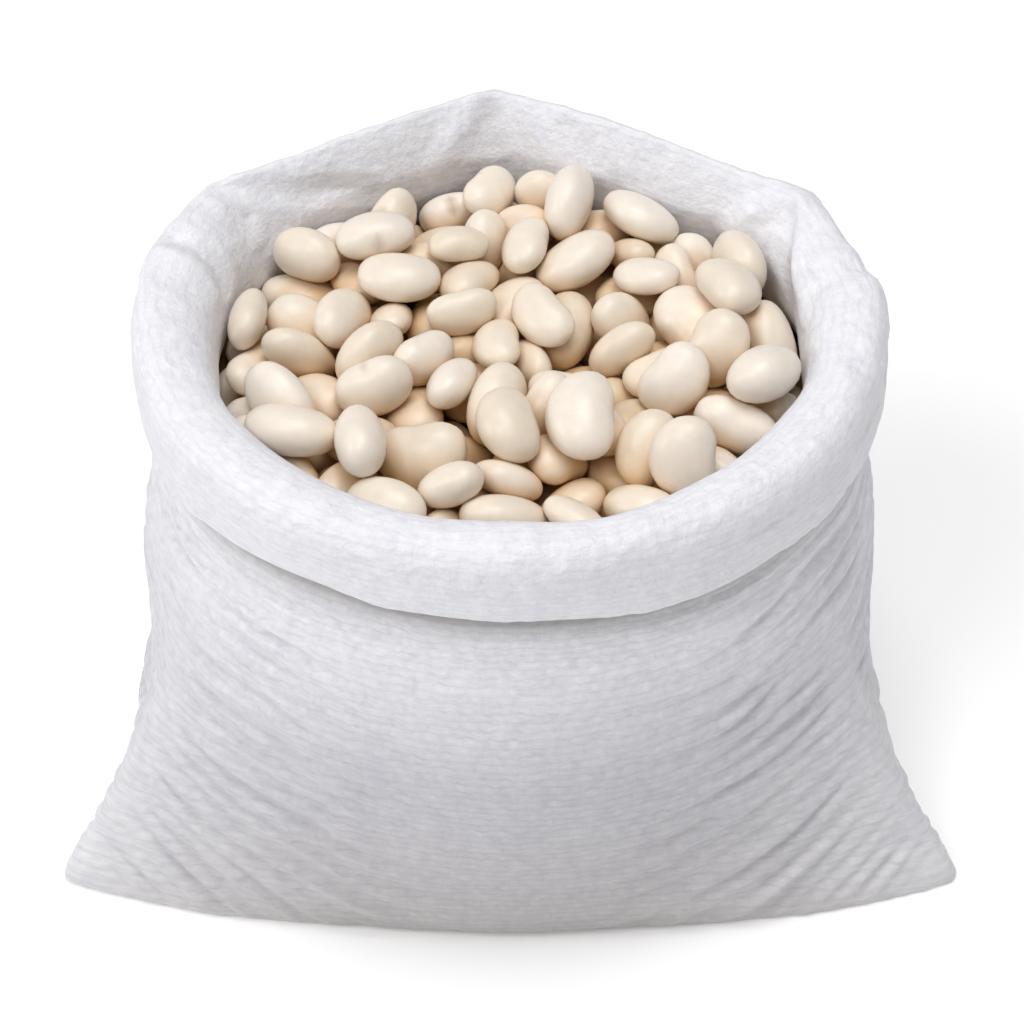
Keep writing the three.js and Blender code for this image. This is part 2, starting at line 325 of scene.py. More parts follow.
def smooth_step(low, high, value):
    t = np.clip((value - low) / (high - low), 0, 1)
    return t * t * (3 - 2 * t)


def softened(field):
    """The field averaged a little with its neighbours round and along the cloth."""
    field = (np.roll(field, 1, axis=1) + 2 * field + np.roll(field, -1, axis=1)) / 4
    return np.concatenate([field[:1], (field[:-2] + 2 * field[1:-1] + field[2:]) / 4, field[-1:]])


def noise_field(where, sizes):
    """Noise at each point, with its bumps about one size long along each axis."""
    scaled = where / np.array(sizes)
    values = np.array([noise.noise(p) for p in scaled.reshape(-1, 3).tolist()])
    return values.reshape(where.shape[:-1])


# %% [markdown]
# The sides hold the cloth up and the middle of the front hangs, so each fold of the body runs
# like a swag: low at the front and rising ever more steeply to the side. `level` is the height
# with this sag taken out. It stays the same all along one fold, so a wave over the level draws
# every fold at once, and noise that wanders over it keeps the folds from being parallel.

# %% Sagging folds
FOLD_SPACING = 8.4
SMALL_SPACING = 4.9
FOLD_STEEPNESS = 1.25
FOLD_BEND = 1.3
SIDE_PLACE = 90.0
FRONT_PLACE = -28.0
FRONT_BLEND = 20

sideways = np.abs(points[..., 0]) / SIDE_PLACE
hang = FOLD_STEEPNESS * SIDE_PLACE * sideways ** (1 + FOLD_BEND) / (1 + FOLD_BEND)
level = height + soft_smaller(points[..., 1], FRONT_PLACE, FRONT_BLEND) - math.sqrt(2) * hang
round_x, round_y = np.cos(angles) * 80 + 0 * level, np.sin(angles) * 80 + 0 * level
level_place = np.stack([round_x, round_y, level], axis=-1)

wander = noise_field(level_place, (45, 45, 34)) + 0.3 * noise_field(level_place + 400, (16, 16, 16))
fold_wave = 0.65 - np.sqrt(np.sin(np.pi * (level / FOLD_SPACING + 0.7 * wander)) ** 2 + 0.03)
small_wave = 0.4 * np.cos(2 * np.pi * (level / SMALL_SPACING + 0.9 * wander))
streaks = (noise_field(level_place + 200, (24, 24, 4.2))
           + 0.6 * noise_field(level_place + 300, (14, 14, 2.1)))
print("level from", round(level.min()), "to", round(level.max()), "mm")

# %% [markdown]
# Folds start at the sides and run out before the middle of the front, and they break off and
# start again on the way. Each fade below is a share from 0 to 1. The folds stop short of the
# floor and of the cuff, lie flatter on the seam of each ear and at the upper sides, and are a
# little stronger at the left, as the photograph shows them.

# %% Where the folds fade
FOLD_HEIGHT = 2.0
SIDE_ANGLES = (188, 352)
EAR_SEAM_WIDTH = 5
SIDE_WIDTH = 14

from_side = np.minimum.reduce([degrees_from(at) for at in SIDE_ANGLES])
from_seam = np.minimum.reduce([np.abs(degrees - at) for at in EAR_ANGLES])
side_share = np.where(np.sin(angles) < 0, smooth_step(80, 36, from_side),
                      0.55 * smooth_step(95, 30, from_side))
zone = side_share[None, :] * smooth_step(1, 7, height) * smooth_step(101, 88, height)
breaks = np.clip(0.85 + 1.2 * noise_field(level_place, (30, 30, 10)), 0.3, 1.4)
small_breaks = np.clip(0.3 + 1.5 * noise_field(level_place + 500, (26, 26, 9)), 0, 1.2)
small_breaks += 0.6 * ear_share

folds = fold_wave * breaks + 0.35 * small_wave * small_breaks + 0.45 * streaks
relief = FOLD_HEIGHT * folds * zone
on_seam = np.exp(-((from_seam / EAR_SEAM_WIDTH) ** 2)) * ear_share * smooth_step(80, 45, height)
relief *= 1 - 0.85 * on_seam
relief *= 1 + 0.3 * smooth_step(0.2, -0.4, np.cos(angles))
relief *= 1 - 0.5 * np.exp(-((from_side / SIDE_WIDTH) ** 2)) * smooth_step(40, 60, height)
relief += 0.3 * streaks * (1 - zone) * smooth_step(103, 92, height)
relief = softened(relief) * (row < first_slot)

# %% [markdown]
# Under the folds the beans push faint dents into the cloth, and their weight gives the front a
# belly.

# %% Dents and belly
BELLY = 4.5
BELLY_HEIGHT = 60
BELLY_WIDTH = 32

dents = 0.9 * noise_field(points, (34, 34, 26)) + 0.22 * noise_field(points + 50, (10, 10, 8))
on_body = (row < first_slot) * smooth_step(2, 12, height) * smooth_step(103, 92, height)
relief += 0.8 * dents * on_body
bulge = np.exp(-(((height - BELLY_HEIGHT) / BELLY_WIDTH) ** 2))
relief += BELLY * np.clip(-np.sin(angles), 0, 1) ** 2 * bulge * on_body

# %% [markdown]
# The cuff was rolled by hand, so it is crumpled: broad dents, and two finer kinds with sharp
# ridges, which the absolute value of noise gives. On the thin hem the dents may not go deep,
# or its inner side would show through. Two marks are kept for the material: `on_cuff`, where
# the cloth is rolled, and one for the slot under the hem and the cloth round it, where shade is
# painted into the colour.

# %% Crumple of the cuff
CRUMPLE_HEIGHT = 0.7
DEEPEST_ON_HEM = -0.55

on_cuff = (smooth_step(first_hem + 8, first_hem + 26, row)
           * smooth_step(first_inside + 18, first_inside - 4, row))
# painted shade: this mark covers the slot under the hem and the cloth round it, which the colour darkens
hem_shade = (smooth_step(first_slot - 4, first_slot + 9, row)
          * smooth_step(first_hem + 14, first_hem + 5, row))
crumple = 1.2 * noise_field(points + 90, (20, 20, 12))
crumple = crumple - 0.9 * np.abs(noise_field(points + 30, (10, 10, 8)))
crumple -= 0.55 * np.abs(noise_field(points + 10, (4.5, 4.5, 4.0)))
crumple *= 1 - 0.6 * smooth_step(first_inside - 45, first_inside - 20, row)
deepest = np.where(row < first_roll, DEEPEST_ON_HEM, crumple.min())
relief += CRUMPLE_HEIGHT * np.maximum(crumple, deepest) * on_cuff

# %% [markdown]
# A few sharp creases sit where the stiff cloth of the rim was folded: at the three corners of
# the back, along the left cuff and across the right one. Each crease is a height, a width and a
# line of points. A ridge or a valley with straight flanks follows the line, so the cloth breaks
# into flat facets.

# %% Creases of the rim
CREASES = (
    (1.1, 5.0, ((-75, 14, 132), (-72, 13, 131), (-65, 8.7, 125))),
    (-1.6, 5.0, ((-75, 20, 131), (-69, 18, 129), (-62, 14, 124))),
    (-1.7, 4.5, ((-65, 36, 134), (-47, 40, 127), (-32, 50, 121))),
    (1.6, 4.5, ((-64, 33, 132), (-54, 34, 130), (-55, 30, 122))),
    (1.3, 5.0, ((-4, 64, 137), (-9, 60, 133), (-19, 57, 121))),
    (-1.4, 6.5, ((-2, 64, 136), (-3, 59, 128), (-1, 58, 119))),
    (1.0, 5.0, ((3, 61, 135), (9, 57, 126))),
    (1.8, 4.5, ((64, 33, 133), (56, 33, 129), (51, 38, 119))),
    (-1.8, 5.5, ((61, 29, 131), (59, 22, 126), (60, 14, 121))),
    (1.4, 3.5, ((64, 31, 133), (63, 24, 131), (63, 14, 126), (64, 3, 123))),
    (-1.3, 4.0, ((67, 8, 128), (77, 11, 131), (80, 12, 124))),
)


def distance_to(points, start, end):
    """How far each point lies from the straight line between two ends."""
    start, end = np.array(start, dtype=float), np.array(end, dtype=float)
    run = end - start
    share = np.clip(((points - start) @ run) / (run @ run), 0, 1)
    return np.linalg.norm(points - start - share[..., None] * run, axis=-1)


for rise, width, line in CREASES:
    away = np.minimum.reduce([distance_to(points, a, b) for a, b in zip(line, line[1:])])
    relief += rise * np.clip(1 - away / width, 0, 1)
print("relief from", round(relief.min(), 2), "to", round(relief.max(), 2), "mm")

# %% [markdown]
# The relief moves each point along its surface normal. Then the grid of points becomes a mesh of
# four-sided faces that closes round the axis.

# %% Shell of the sack


def grid_normals(grid):
    along = np.gradient(grid, axis=0)
    around = np.roll(grid, -1, axis=1) - np.roll(grid, 1, axis=1)
    normals = np.cross(around, along)
    lengths = np.linalg.norm(normals, axis=-1, keepdims=True)
    return normals / np.maximum(lengths, 1e-6)


def grid_mesh(name, grid):
    """A mesh from rows of points that close round the axis, in the units given."""
    rows_count, around = grid.shape[:2]
    first = np.arange(rows_count - 1)[:, None] * around
    i = np.arange(around)[None, :]
    j = (i + 1) % around
    quads = np.stack([first + i, first + j, first + around + j, first + around + i], axis=-1)
    mesh = bpy.data.meshes.new(name)
    mesh.from_pydata(grid.reshape(-1, 3).tolist(), [], quads.reshape(-1, 4).tolist())
    return mesh


points += grid_normals(points) * relief[..., None]
points[..., 2] = np.maximum(points[..., 2], 0)
sack_mesh = grid_mesh("sack_cloth", points * MM)
sack_mesh.polygons.foreach_set("use_smooth", [True] * len(sack_mesh.polygons))
print("sack has", len(sack_mesh.polygons), "faces")

# %% [markdown]
# The UVs are measured in millimetres: U runs round the sack and V along the cloth, so a tape of
# the weave is the same width everywhere. The two marks go onto the points as attributes.

# %% Millimetres on the cloth
AROUND_LENGTH = 480.0

steps = np.linalg.norm(np.diff(profile, axis=0), axis=-1).mean(axis=1)
along_length = np.concatenate([[0], np.cumsum(steps)])
u_edges = np.append(angles, 2 * np.pi) / (2 * np.pi) * AROUND_LENGTH
u0 = np.broadcast_to(u_edges[:-1], (len(profile) - 1, AROUND))
u1 = np.broadcast_to(u_edges[1:], u0.shape)
v0 = np.broadcast_to(along_length[:-1, None], u0.shape)
v1 = np.broadcast_to(along_length[1:, None], u0.shape)
corners = np.stack([u0, v0, u1, v0, u1, v1, u0, v1], axis=-1).reshape(-1)
sack_mesh.uv_layers.new(name="cloth_mm").data.foreach_set("uv", corners.astype(np.float32))

for attribute, values in (("rolled", on_cuff), ("hem_shade", hem_shade)):
    values = np.broadcast_to(values, points.shape[:2]).reshape(-1).astype(np.float32)
    sack_mesh.attributes.new(attribute, "FLOAT", "POINT").data.foreach_set("value", values)
sack_mesh.update()

sack = bpy.data.objects.new("sack_cloth", sack_mesh)
scene.collection.objects.link(sack)
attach(sack, "root")
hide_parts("sack")
print("cloth is", round(along_length[-1]), "mm long from the underside to the inner floor")

# %% [markdown]
# The beans are large white beans: plump ovals with a shallow bend, a little flatter than they
# are wide, and a small eye on the hollow side. One function makes such a bean at any size, so
# no two in the heap need to be alike.

# %% One bean
BEAN_LENGTH = (13.5, 22.5)
BEAN_WIDTH_SHARE = (0.66, 0.81)
BEAN_THICKNESS_SHARE = (0.66, 0.82)
BEAN_BEND = (0.0, 0.1)
BEAN_PLUMPNESS = 0.84
EYE_DEPTH = 0.05
EYE_LENGTH = 0.34


def bean_points(length, width, thickness, bend, ends, sides):
    """Points of a bean along X, hollow toward +Y: two tips, then rings of points between them."""
    t = np.linspace(0, np.pi, ends + 1)[1:-1]
    around = np.arange(sides) * 2 * np.pi / sides
    x = np.cos(t)[:, None] * np.ones(sides)
    plump = (np.sin(t) ** BEAN_PLUMPNESS)[:, None]
    y = plump * np.cos(around)
    z = plump * np.sin(around)
    eye = np.exp(-((x / EYE_LENGTH) ** 2)) * np.clip(np.cos(around), 0, 1) ** 2
    y = (y - eye * EYE_DEPTH * 2) * width / 2 + bend * width * x * x
    body_points = np.stack([x * length / 2, y, z * thickness / 2], axis=-1).reshape(-1, 3)
    tips = np.array([[length / 2, bend * width, 0], [-length / 2, bend * width, 0]])
    return np.concatenate([tips, body_points]), np.concatenate([[0, 0], eye.reshape(-1)])


def bean_faces(ends, sides):
    last = ends - 2

    def at(r, s):
        return 2 + r * sides + s % sides

    faces = [(0, at(0, s), at(0, s + 1)) for s in range(sides)]
    for r in range(last):
        faces += [(at(r, s), at(r + 1, s), at(r + 1, s + 1), at(r, s + 1)) for s in range(sides)]
    faces += [(1, at(last, s + 1), at(last, s)) for s in range(sides)]
    return faces


def draw_bean(draw):
    """One bean's sizes, drawn at random: long beans are rarer than middling ones."""
    length = BEAN_LENGTH[0] + (BEAN_LENGTH[1] - BEAN_LENGTH[0]) * draw.betavariate(1.7, 2.3)
    width = length * draw.uniform(*BEAN_WIDTH_SHARE)
    thickness = width * draw.uniform(*BEAN_THICKNESS_SHARE)
    return length, width, thickness, draw.uniform(*BEAN_BEND)


# %% [markdown]
# Beans lie the way they fall, so they are dropped into a copy of the sack's throat. Only the
# beans near the top can be seen, so its floor is a low mound 29 mm below the top of the heap,
# and a tall straight chute above the mouth keeps any from rolling off.

# %% The room that the beans fall into
HEAP_EDGE = 119.5
HEAP_RISE = 5.0
HEAP_LEAN = 0.05
LAYER_DEPTH = 29.0
WALL_GAP = 0.4
CHUTE_TOP = 420


def heap_height(x, y):
    share = np.clip(np.hypot(x / LIP[0], y / LIP[1]), 0, 1)
    return HEAP_EDGE + HEAP_RISE * (1 - share ** 2.2) + HEAP_LEAN * y


def round_row(reach_row, z):
    return np.stack([reach_row * np.cos(angles), reach_row * np.sin(angles), z + 0 * angles], axis=-1)


def mound_rows():
    """Rings of the mound, from its middle to the wall."""
    narrow = lip - WALL_GAP
    rows = []
    for share in (0.001, 0.2, 0.4, 0.6, 0.8, 1.0):
        x, y = narrow * share * np.cos(angles), narrow * share * np.sin(angles)
        rows.append(np.stack([x, y, heap_height(x, y) - LAYER_DEPTH], axis=-1))
    return rows


def wall_rows():
    """Rings of the cloth wall from behind the mound to the top of the chute."""
    wide = body_reach(THROAT) - CLOTH - WALL_GAP
    narrow = lip - WALL_GAP
    return [round_row(narrow * 0.6 + wide * 0.4, 98), round_row(narrow + 1, 108),
            round_row(narrow, 116), round_row(narrow, CHUTE_TOP)]


print("mound from", round(heap_height(0, 0) - LAYER_DEPTH, 1), "mm high in the middle")

# %% [markdown]
# The beans start in loose layers above the mouth, well apart, each turned its own way. The
# rigid-body solver is made for objects of a metre, not of a centimetre, so the whole simulation
# runs twenty times larger than life. Beans are smooth but dry and light, so they get middling
# friction, no bounce, and some damping to bring them to rest.

# %% Helpers for the fall
BEAN_COUNT = 190
PER_LAYER = 11
LAYER_RISE = 19.0
FIRST_LAYER = 146
START_ROOM = (50, 48)
SIM_SCALE = 20 * MM
BODY_SETTINGS = {"use_margin": True, "collision_margin": 0.002, "friction": 0.55,
                 "restitution": 0.0, "linear_damping": 0.15, "angular_damping": 0.35}


def add_body(obj, kind, shape):
    scene.collection.objects.link(obj)
    scene.rigidbody_world.collection.objects.link(obj)
    obj.rigid_body.type = kind
    obj.rigid_body.collision_shape = shape
    for setting, value in BODY_SETTINGS.items():
        setattr(obj.rigid_body, setting, value)


def start_places(draw):
    """Starting points in layers above the mouth, each the emptiest of a few drawn places."""
    places = []
    for i in range(BEAN_COUNT):
        mates = places[i - i % PER_LAYER:]
        best, best_room = None, -1
        for _ in range(12):
            angle, share = draw.uniform(0, 2 * math.pi), math.sqrt(draw.random())
            spot = (START_ROOM[0] * share * math.cos(angle), START_ROOM[1] * share * math.sin(angle))
            room = min([math.dist(spot, mate[:2]) for mate in mates], default=99)
            if room > best_room:
                best, best_room = spot, room
        places.append((*best, FIRST_LAYER + LAYER_RISE * (i // PER_LAYER)))
    return places


# %% [markdown]
# Now the fall itself. The falling beans are coarse, since only their hulls touch. The solver
# only works when the frames are played one after the other, so the scene steps through them
# all. The resting places are read from the evaluated objects, and the simulation is removed.

# %% Dropping the beans
SETTLE_FRAMES = 115
HULL = (8, 12)  # rings and sides of a falling bean


def settle_beans():
    """The beans' sizes and the matrices, in simulation units, at which they come to rest."""
    draw = random.Random(SEED)
    bpy.ops.rigidbody.world_add()
    world = scene.rigidbody_world
    world.collection = bpy.data.collections.new("falling")
    world.substeps_per_frame = 10
    world.solver_iterations = 14
    world.point_cache.frame_end = SETTLE_FRAMES
    room_grid = np.stack(mound_rows() + wall_rows())[:, ::8]
    room_object = bpy.data.objects.new("room", grid_mesh("room", room_grid * SIM_SCALE))
    add_body(room_object, "PASSIVE", "MESH")
    sizes = [draw_bean(draw) for _ in range(BEAN_COUNT)]
    faces = bean_faces(*HULL)
    falling = []
    for i, (size, place) in enumerate(zip(sizes, start_places(draw))):
        shape, _ = bean_points(*size, *HULL)
        mesh = bpy.data.meshes.new("falling")
        mesh.from_pydata((shape * SIM_SCALE).tolist(), [], faces)
        obj = bpy.data.objects.new(f"falling_{i}", mesh)
        obj.location = Vector(place) * SIM_SCALE
        obj.rotation_euler = [draw.uniform(-0.6, 0.6), draw.uniform(-0.6, 0.6), draw.uniform(0, 2 * math.pi)]
        add_body(obj, "ACTIVE", "CONVEX_HULL")
        falling.append(obj)
    for frame_number in range(1, SETTLE_FRAMES + 1):
        scene.frame_set(frame_number)
    graph = bpy.context.evaluated_depsgraph_get()
    rests = [obj.evaluated_get(graph).matrix_world.copy() for obj in falling]
    bpy.ops.rigidbody.world_remove()
    for obj in [*falling, room_object]:
        bpy.data.objects.remove(obj)
    scene.frame_set(1)
    return sizes, rests


bean_sizes, bean_rests = settle_beans()
tops = [matrix.translation.z / SIM_SCALE for matrix in bean_rests]
print("beans settled between", round(min(tops)), "and", round(max(tops)), "mm")

# %% [markdown]
# Every bean is now built again at full detail where it came to rest. Two values go with its
# points: a tone for the whole bean, because dried beans differ in colour from one to the next,
# and a mark where the eye is, fainter on some than on others.

# %% Beans where they rest
BEAN_ENDS = 16
BEAN_SIDES = 20

draw = random.Random(SEED + 1)
all_points, all_faces, all_tones, all_eyes = [], [], [], []
offset = 0
detail_faces = bean_faces(BEAN_ENDS, BEAN_SIDES)
for size, rest in zip(bean_sizes, bean_rests):
    shape, eye = bean_points(*size, BEAN_ENDS, BEAN_SIDES)
    placed = shape @ np.array(rest.to_3x3()).T + np.array(rest.translation) / SIM_SCALE
    tone, eye_strength = draw.random(), draw.random() ** 2
    all_points.append(placed)
    all_faces += [tuple(index + offset for index in face) for face in detail_faces]
    all_tones.append(np.full(len(placed), tone))
    all_eyes.append(eye * eye_strength)
    offset += len(placed)
heap_points = np.concatenate(all_points)
print(len(all_points), "beans with", len(heap_points), "points")

# %% [markdown]
# Light that reaches a deep bean has bounced off others and turned warmer on the way. So each
# point also stores how far it lies below the top of the heap round it. A coarse map of columns
# holds the highest point in each, and the mean over the columns near by is that top.

# %% Depth in the heap
COLUMN = 2.5
COLUMNS = 80
MAP_EDGE = 100
EMPTY_COLUMN = 90

column = np.floor((heap_points[:, :2] + MAP_EDGE) / COLUMN).astype(int)
surface = np.full((COLUMNS, COLUMNS), -np.inf)
np.maximum.at(surface, (column[:, 0], column[:, 1]), heap_points[:, 2])
spread = np.stack([np.roll(surface, (i, j), (0, 1)) for i in range(-3, 4) for j in range(-3, 4)])
level_above = np.where(np.isfinite(spread), spread, EMPTY_COLUMN).mean(axis=0)
all_depths = level_above[column[:, 0], column[:, 1]] - heap_points[:, 2]
print("deepest point", round(all_depths.max()), "mm down")

# %% [markdown]
# All beans join into one mesh, because a heap of separate objects would be slow to draw and to
# hand on, and no bean of a packed sack moves alone.

# %% The heap of beans
heap_mesh = bpy.data.meshes.new("beans_loose")
heap_mesh.from_pydata((heap_points * MM).tolist(), [], all_faces)
heap_mesh.polygons.foreach_set("use_smooth", [True] * len(heap_mesh.polygons))
marks = {"tone": np.concatenate(all_tones), "eye": np.concatenate(all_eyes), "depth": all_depths}
for name, values in marks.items():
    heap_mesh.attributes.new(name, "FLOAT", "POINT").data.foreach_set("value", values.astype(np.float32))

beans = bpy.data.objects.new("beans_loose", heap_mesh)
scene.collection.objects.link(beans)
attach(beans, "root")
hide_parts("beans")
print(len(all_points), "beans,", len(heap_mesh.polygons), "faces")

# %% [markdown]
# Under the loose beans lies the mound that they fell on, a millimetre lower. It closes the view
# into the sack. Its edge is turned up into a collar in the throat, or the eye would look down
# past the last beans at the back.

# %% The mound under the beans
COLLAR_HEIGHT = 104
COLLAR_SHARE = 0.25
MOUND_FOOT = 60

mound_grid = np.stack(mound_rows())
mound_grid[..., 2] -= 1.0
collar = lip + COLLAR_SHARE * (body_reach(THROAT) - CLOTH - lip)
mound_grid[-1] = round_row(collar, COLLAR_HEIGHT)
mound_foot = round_row(collar, MOUND_FOOT)
mound_mesh = grid_mesh("beans_mound", np.concatenate([mound_grid, mound_foot[None]]) * MM)
mound = bpy.data.objects.new("beans_mound", mound_mesh)
scene.collection.objects.link(mound)
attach(mound, "root")
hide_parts("beans")
print("mound has", len(mound_mesh.polygons), "faces")

# %% [markdown]
# Colours are written as the eye sees them, in sRGB, and one function turns them into the linear
# values that the renderer adds up. A second one adds a node: its settings are given by name, and
# each input gets a plain value or the socket that feeds it.

# %% Helpers for materials


def linear(hex_colour):
    """A linear RGBA colour from an sRGB hex string."""
    parts = [int(hex_colour[i:i + 2], 16) / 255 for i in (0, 2, 4)]
    return tuple(p / 12.92 if p <= 0.04045 else ((p + 0.055) / 1.055) ** 2.4 for p in parts) + (1.0,)


def new_material(name):
    material = bpy.data.materials.new(name)
    material.use_nodes = True
    return material, material.node_tree.nodes["Principled BSDF"]


def feed(material, node, inputs):
    """Gives each input of a node a value or a link from another socket."""
    for key, value in inputs.items():
        if isinstance(value, bpy.types.NodeSocket):
            material.node_tree.links.new(value, node.inputs[key])
        else:
            node.inputs[key].default_value = value


def add_node(material, kind, inputs=None, **settings):
    node = material.node_tree.nodes.new(kind)
    for key, value in settings.items():
        setattr(node, key, value)
    feed(material, node, inputs or {})
    return node


# %% [markdown]
# The cloth is woven polypropylene: flat plastic tapes, slit from white film and woven plain, one
# over and one under. The tapes are about 2.2 mm wide and never run quite straight, so the place
# on the cloth is shifted a little by noise 5 mm long before it is divided into tapes. A sine
# across each tape is its rounded back, and two sines multiplied are the over and under.

# %% Tapes of the weave
TAPE = 2.2
WOBBLE_LENGTH = 5.0
WOBBLE = (2.4, 2.4, 0.0)

cloth, cloth_skin = new_material("woven_polypropylene")
uv = add_node(cloth, "ShaderNodeUVMap", uv_map="cloth_mm").outputs[0]
wobble = add_node(cloth, "ShaderNodeTexNoise", {"Vector": uv, "Scale": 1 / WOBBLE_LENGTH, "Detail": 3.0})
centred = add_node(cloth, "ShaderNodeVectorMath", {0: wobble.outputs["Color"], 1: (0.5, 0.5, 0.5)},
                   operation="SUBTRACT")
woven_uv = add_node(cloth, "ShaderNodeVectorMath", {0: centred.outputs[0], 1: WOBBLE, 2: uv},
                    operation="MULTIPLY_ADD").outputs[0]
woven_place = add_node(cloth, "ShaderNodeSeparateXYZ", {0: woven_uv})
tape, wave = [], []
for axis in (0, 1):
    across = {0: woven_place.outputs[axis], 1: TAPE}
    tape.append(add_node(cloth, "ShaderNodeMath", across, operation="DIVIDE").outputs[0])
    half_turn = add_node(cloth, "ShaderNodeMath", {0: tape[axis], 1: math.pi}, operation="MULTIPLY")
    wave.append(add_node(cloth, "ShaderNodeMath", {0: half_turn.outputs[0]}, operation="SINE").outputs[0])

over_under = add_node(cloth, "ShaderNodeMath", {0: wave[0], 1: wave[1]}, operation="MULTIPLY")
half_over = add_node(cloth, "ShaderNodeMath", {0: over_under.outputs[0], 1: 0.5}, operation="MULTIPLY")
round_back = add_node(cloth, "ShaderNodeMath", {0: wave[1]}, operation="ABSOLUTE").outputs[0]
weave = add_node(cloth, "ShaderNodeMath", {0: round_back, 1: 0.7, 2: half_over.outputs[0]},
                 operation="MULTIPLY_ADD").outputs[0]
print("one tape is", TAPE, "mm wide,", round(AROUND_LENGTH / TAPE), "of them go round the sack")

# %% [markdown]
# Each tape catches the light differently, in dashes about 4 mm long that change from row to
# row, and its film is drawn out into fine streaks of about 2.2 by 0.6 mm. Half of each makes
# the face of a tape. The whole cloth is also crinkled, in facets of about 2 mm, and a little
# worn in patches of 45 mm.

# %% Grain of the tapes
DASH_LENGTH = 4.0
ROW_JUMP = 5.7  # sends each row of tapes to another place in the noise
GRAIN_SIZE = (2.222, 0.5882)
CRINKLE_SIZE = 1.923
WORN_SIZE = 45.45

object_place = add_node(cloth, "ShaderNodeTexCoord").outputs["Object"]
row_number = add_node(cloth, "ShaderNodeMath", {0: tape[1]}, operation="FLOOR")
row_start = add_node(cloth, "ShaderNodeMath", {0: row_number.outputs[0], 1: ROW_JUMP}, operation="MULTIPLY")
dash_along = add_node(cloth, "ShaderNodeMath", {0: tape[0], 1: TAPE / DASH_LENGTH}, operation="MULTIPLY")
dash_place = add_node(cloth, "ShaderNodeCombineXYZ", {0: dash_along.outputs[0], 1: row_start.outputs[0]})
dashes = add_node(cloth, "ShaderNodeTexNoise", {"Vector": dash_place.outputs[0], "Scale": 1.0,
                                                "Detail": 3.0, "Roughness": 0.6})
grain_scale = (1 / GRAIN_SIZE[0], 1 / GRAIN_SIZE[1], 0.0)
grain_place = add_node(cloth, "ShaderNodeVectorMath", {0: woven_uv, 1: grain_scale}, operation="MULTIPLY")
grain = add_node(cloth, "ShaderNodeTexNoise", {"Vector": grain_place.outputs[0], "Scale": 1.0,
                                               "Detail": 4.0, "Roughness": 0.6})
half_grain = add_node(cloth, "ShaderNodeMath", {0: grain.outputs[0], 1: 0.5}, operation="MULTIPLY")
tape_face = add_node(cloth, "ShaderNodeMath", {0: dashes.outputs[0], 1: 0.5, 2: half_grain.outputs[0]},
                     operation="MULTIPLY_ADD").outputs[0]
crinkle = add_node(cloth, "ShaderNodeTexNoise", {"Vector": object_place, "Scale": 1 / (CRINKLE_SIZE * MM),
                                                 "Detail": 4.0, "Roughness": 0.65}).outputs[0]
worn = add_node(cloth, "ShaderNodeTexNoise", {"Vector": object_place, "Scale": 1 / (WORN_SIZE * MM),
                                              "Detail": 2.0}).outputs[0]

# %% [markdown]
# The film is white with a faint blue. Its tone follows the face of the tapes, and the lines
# between the rows are a shade darker. On the rolled cuff the cloth is pulled tight, so there the
# tone is calmer.

# %% White of the tapes
LINE_TONE = 0.09
LINE_MIDDLE = 0.64  # the mean of a rounded back
CUFF_CALM = 0.3
CUFF_TONE = 0.25

rolled = add_node(cloth, "ShaderNodeAttribute", attribute_name="rolled").outputs["Fac"]
line = add_node(cloth, "ShaderNodeMath", {0: round_back, 1: LINE_MIDDLE}, operation="SUBTRACT")
toned = add_node(cloth, "ShaderNodeMath", {0: line.outputs[0], 1: LINE_TONE, 2: tape_face},
                 operation="MULTIPLY_ADD")
tape_tone = add_node(cloth, "ShaderNodeMapRange", {"Value": toned.outputs[0], "From Min": 0.34,
                                                   "From Max": 0.66})
calm = add_node(cloth, "ShaderNodeMath", {0: rolled, 1: CUFF_CALM}, operation="MULTIPLY")
calmed = add_node(cloth, "ShaderNodeMix", {0: calm.outputs[0], 2: tape_tone.outputs[0], 3: CUFF_TONE})
white = add_node(cloth, "ShaderNodeMix", {0: calmed.outputs[0], 6: linear("E0E0E8"), 7: linear("FBFBFE")},
                 data_type="RGBA").outputs[2]

# %% [markdown]
# The cloth is painted darker towards its foot, most in the middle of the front where it bulges:
# this is shade painted by a ramp over the height. The crease behind the hem is painted darker
# than the cloth round it, by the mark on the points. Both shades are multiplied into the white.

# %% Painted shade on the white
# painted shade: the white is darkened towards the foot by a ramp over the height
SHADE_TOP = 100
FOOT_SHADE = ((0.0, "B8B1A9"), (0.09, "CDC9C6"), (0.6, "DCDBDD"), (0.9, "FFFFFF"))
SHADE_MIDDLE = (30, 100)  # full painted shade within the first, least from the second

here = add_node(cloth, "ShaderNodeSeparateXYZ", {0: object_place})
rise_share = add_node(cloth, "ShaderNodeMath", {0: here.outputs[2], 1: 1 / (SHADE_TOP * MM)},
                      operation="MULTIPLY")
foot_ramp = add_node(cloth, "ShaderNodeValToRGB", {"Fac": rise_share.outputs[0]})
foot_ramp.color_ramp.elements[1].position = FOOT_SHADE[-1][0]
for position, _ in FOOT_SHADE[1:-1]:
    foot_ramp.color_ramp.elements.new(position)
for element, (_, colour) in zip(foot_ramp.color_ramp.elements, FOOT_SHADE):
    element.color = linear(colour)

